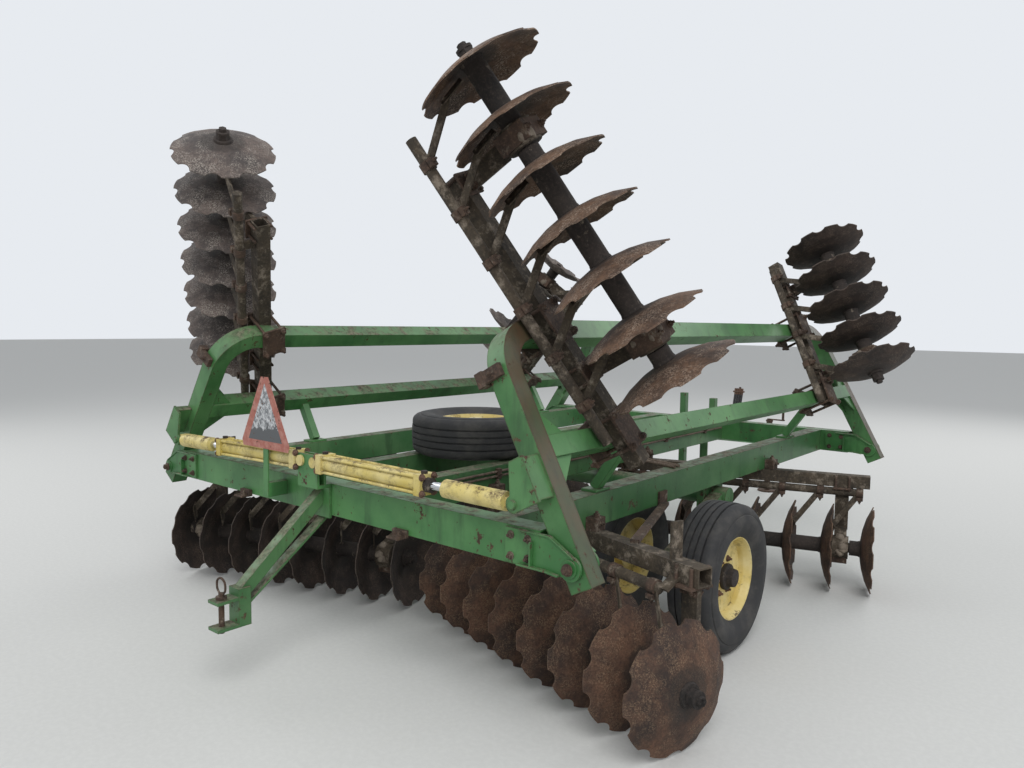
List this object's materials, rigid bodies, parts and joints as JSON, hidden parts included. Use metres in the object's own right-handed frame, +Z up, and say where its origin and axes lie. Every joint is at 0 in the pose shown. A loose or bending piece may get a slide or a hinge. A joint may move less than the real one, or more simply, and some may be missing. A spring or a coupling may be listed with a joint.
{
  "type": "tandem disc harrow",
  "caption": "Towed tandem disc harrow on twin wheels, with hinged wings folded up for transport, disc gangs, scrapers, fold and lift cylinders, tongue and jack",
  "frame": {"origin": "on the ground, in the middle of the overall width and length", "axes": "X to the right of travel, Y forward toward the tongue, Z up"},
  "size_m": [3.7326, 6.63, 2.7332],
  "materials": {
    "green_paint": "faded green paint with rust and dirt",
    "rusty_steel": "rust brown steel with flakes and soil",
    "disc_steel": "rusted disc steel, pitted",
    "yellow_paint": "faded yellow paint with dark chips",
    "chrome_rod": "plated rod",
    "tyre_rubber": "worn ribbed tyre with dust",
    "sign_face": "faded red border and weathered white middle"
  },
  "bodies": {
    "chassis": {"rear_beam": "green_paint", "front_beam": "green_paint", "rail_right": "green_paint", "rail_left": "green_paint", "inner_rail_right": "green_paint", "inner_rail_left": "green_paint", "rear_gang_beam_right": "rusty_steel", "rear_gang_beam_left": "rusty_steel", "front_gang_beam_right": "rusty_steel", "front_gang_beam_left": "rusty_steel", "cylinder_bracket": "green_paint", "lift_anchor": "green_paint", "lift_barrel": "yellow_paint", "rear_hitch": "green_paint", "sign": "sign_face", "spare_tyre": "tyre_rubber", "spare_rim": "yellow_paint", "tongue": "green_paint", "hose_stand": "rusty_steel", "front_uprights": "rusty_steel", "rear_gang_braces": "rusty_steel"},
    "jack": {"jack_leg": "rusty_steel"},
    "lift_piston": {"lift_rod": "chrome_rod"},
    "rockshaft_body": {"rockshaft": "green_paint"},
    "wing_right": {"wing_rear_arm_right": "green_paint", "wing_front_arm_right": "green_paint", "wing_outer_tube_right": "green_paint", "wing_mid_tube_right": "green_paint", "wing_rear_gang_beam_right": "rusty_steel", "wing_front_gang_beam_right": "rusty_steel"},
    "rear_discs_right": {"rear_gang_right": "disc_steel"},
    "wing_rear_discs_right": {"wing_rear_gang_right": "disc_steel"},
    "front_discs_right": {"front_gang_right": "disc_steel"},
    "wing_front_discs_right": {"wing_front_gang_right": "disc_steel"},
    "wheels_right": {"wheel_tyres_right": "tyre_rubber", "wheel_rims_right": "yellow_paint"},
    "fold_barrel_body_right": {"fold_barrel_right": "yellow_paint"},
    "fold_rod_body_right": {"fold_rod_right": "yellow_paint"},
    "wing_left": {"wing_rear_arm_left": "green_paint", "wing_front_arm_left": "green_paint", "wing_outer_tube_left": "green_paint", "wing_mid_tube_left": "green_paint", "wing_rear_gang_beam_left": "rusty_steel", "wing_front_gang_beam_left": "rusty_steel"},
    "rear_discs_left": {"rear_gang_left": "disc_steel"},
    "wing_rear_discs_left": {"wing_rear_gang_left": "disc_steel"},
    "front_discs_left": {"front_gang_left": "disc_steel"},
    "wing_front_discs_left": {"wing_front_gang_left": "disc_steel"},
    "wheels_left": {"wheel_tyres_left": "tyre_rubber", "wheel_rims_left": "yellow_paint"},
    "fold_barrel_body_left": {"fold_barrel_left": "yellow_paint"},
    "fold_rod_body_left": {"fold_rod_left": "yellow_paint"}
  },
  "joints": [
    {"name": "wing_fold_right", "type": "hinge", "parent": "chassis", "child": "wing_right", "pos_m": [1.471, -0.845, 0.759], "axis": [0, 1, 0], "range_deg": [0, 118]},
    {"name": "rear_gang_spin_right", "type": "hinge", "parent": "chassis", "child": "rear_discs_right", "pos_m": [0.255, -1.972, 0.271], "axis": [0.9588, -0.284, 0], "continuous": true},
    {"name": "wing_rear_gang_spin_right", "type": "hinge", "parent": "wing_right", "child": "wing_rear_discs_right", "pos_m": [1.58664, -2.305, 1.50003], "axis": [-0.4412, -0.342, 0.8297], "continuous": true},
    {"name": "front_gang_spin_right", "type": "hinge", "parent": "chassis", "child": "front_discs_right", "pos_m": [0.162, -0.415, 0.271], "axis": [0.9588, 0.284, 0], "continuous": true},
    {"name": "wing_front_gang_spin_right", "type": "hinge", "parent": "wing_right", "child": "wing_front_discs_right", "pos_m": [1.66176, 0.343, 1.35876], "axis": [-0.4535, 0.2588, 0.8529], "continuous": true},
    {"name": "wheel_spin_right", "type": "hinge", "parent": "rockshaft_body", "child": "wheels_right", "pos_m": [1.108, -1.332, 0.376], "axis": [1, 0, 0], "continuous": true},
    {"name": "fold_cylinder_swing_right", "type": "hinge", "parent": "chassis", "child": "fold_barrel_body_right", "pos_m": [0.05, -2.801, 0.98], "axis": [0, 1, 0], "range_deg": [-1, 6]},
    {"name": "fold_cylinder_stroke_right", "type": "slide", "parent": "fold_barrel_body_right", "child": "fold_rod_body_right", "axis": [1, 0, -0.004], "range_m": [0, 0.5055]},
    {"name": "wing_fold_left", "type": "hinge", "parent": "chassis", "child": "wing_left", "pos_m": [-1.471, -0.845, 0.759], "axis": [0, -1, 0], "range_deg": [0, 124]},
    {"name": "rear_gang_spin_left", "type": "hinge", "parent": "chassis", "child": "rear_discs_left", "pos_m": [-0.255, -1.972, 0.271], "axis": [-0.9588, -0.284, 0], "continuous": true},
    {"name": "wing_rear_gang_spin_left", "type": "hinge", "parent": "wing_left", "child": "wing_rear_discs_left", "pos_m": [-1.50855, -2.305, 1.50806], "axis": [0.5255, -0.342, 0.779], "continuous": true},
    {"name": "front_gang_spin_left", "type": "hinge", "parent": "chassis", "child": "front_discs_left", "pos_m": [-0.162, -0.415, 0.271], "axis": [-0.9588, 0.284, 0], "continuous": true},
    {"name": "wing_front_gang_spin_left", "type": "hinge", "parent": "wing_left", "child": "wing_front_discs_left", "pos_m": [-1.59802, 0.343, 1.37541], "axis": [0.5401, 0.2588, 0.8008], "continuous": true},
    {"name": "wheel_spin_left", "type": "hinge", "parent": "rockshaft_body", "child": "wheels_left", "pos_m": [-1.108, -1.332, 0.376], "axis": [1, 0, 0], "continuous": true},
    {"name": "fold_cylinder_swing_left", "type": "hinge", "parent": "chassis", "child": "fold_barrel_body_left", "pos_m": [-0.05, -2.801, 0.98], "axis": [0, -1, 0], "range_deg": [-1, 6]},
    {"name": "fold_cylinder_stroke_left", "type": "slide", "parent": "fold_barrel_body_left", "child": "fold_rod_body_left", "axis": [-0.9997, 0, -0.0234], "range_m": [0, 0.5267]},
    {"name": "wheel_lift", "type": "hinge", "parent": "chassis", "child": "rockshaft_body", "pos_m": [0, -0.715, 0.64], "axis": [1, 0, 0], "range_deg": [-12, 12]},
    {"name": "lift_cylinder_stroke", "type": "slide", "parent": "chassis", "child": "lift_piston", "axis": [0, -1, 0], "range_m": [-0.045, 0.045]},
    {"name": "jack_slide", "type": "slide", "parent": "chassis", "child": "jack", "axis": [0, 0, 1], "range_m": [0, 0.3]}
  ],
  "couplings": [
    {"joint": "fold_cylinder_swing_right", "follows": "wing_fold_right", "ratio": 0.03718},
    {"joint": "fold_cylinder_stroke_right", "follows": "wing_fold_right", "m_per_rad": 0.24448},
    {"joint": "fold_cylinder_swing_left", "follows": "wing_fold_left", "ratio": 0.02641},
    {"joint": "fold_cylinder_stroke_left", "follows": "wing_fold_left", "m_per_rad": 0.24242},
    {"joint": "lift_cylinder_stroke", "follows": "wheel_lift", "m_per_rad": 0.19}
  ]
}
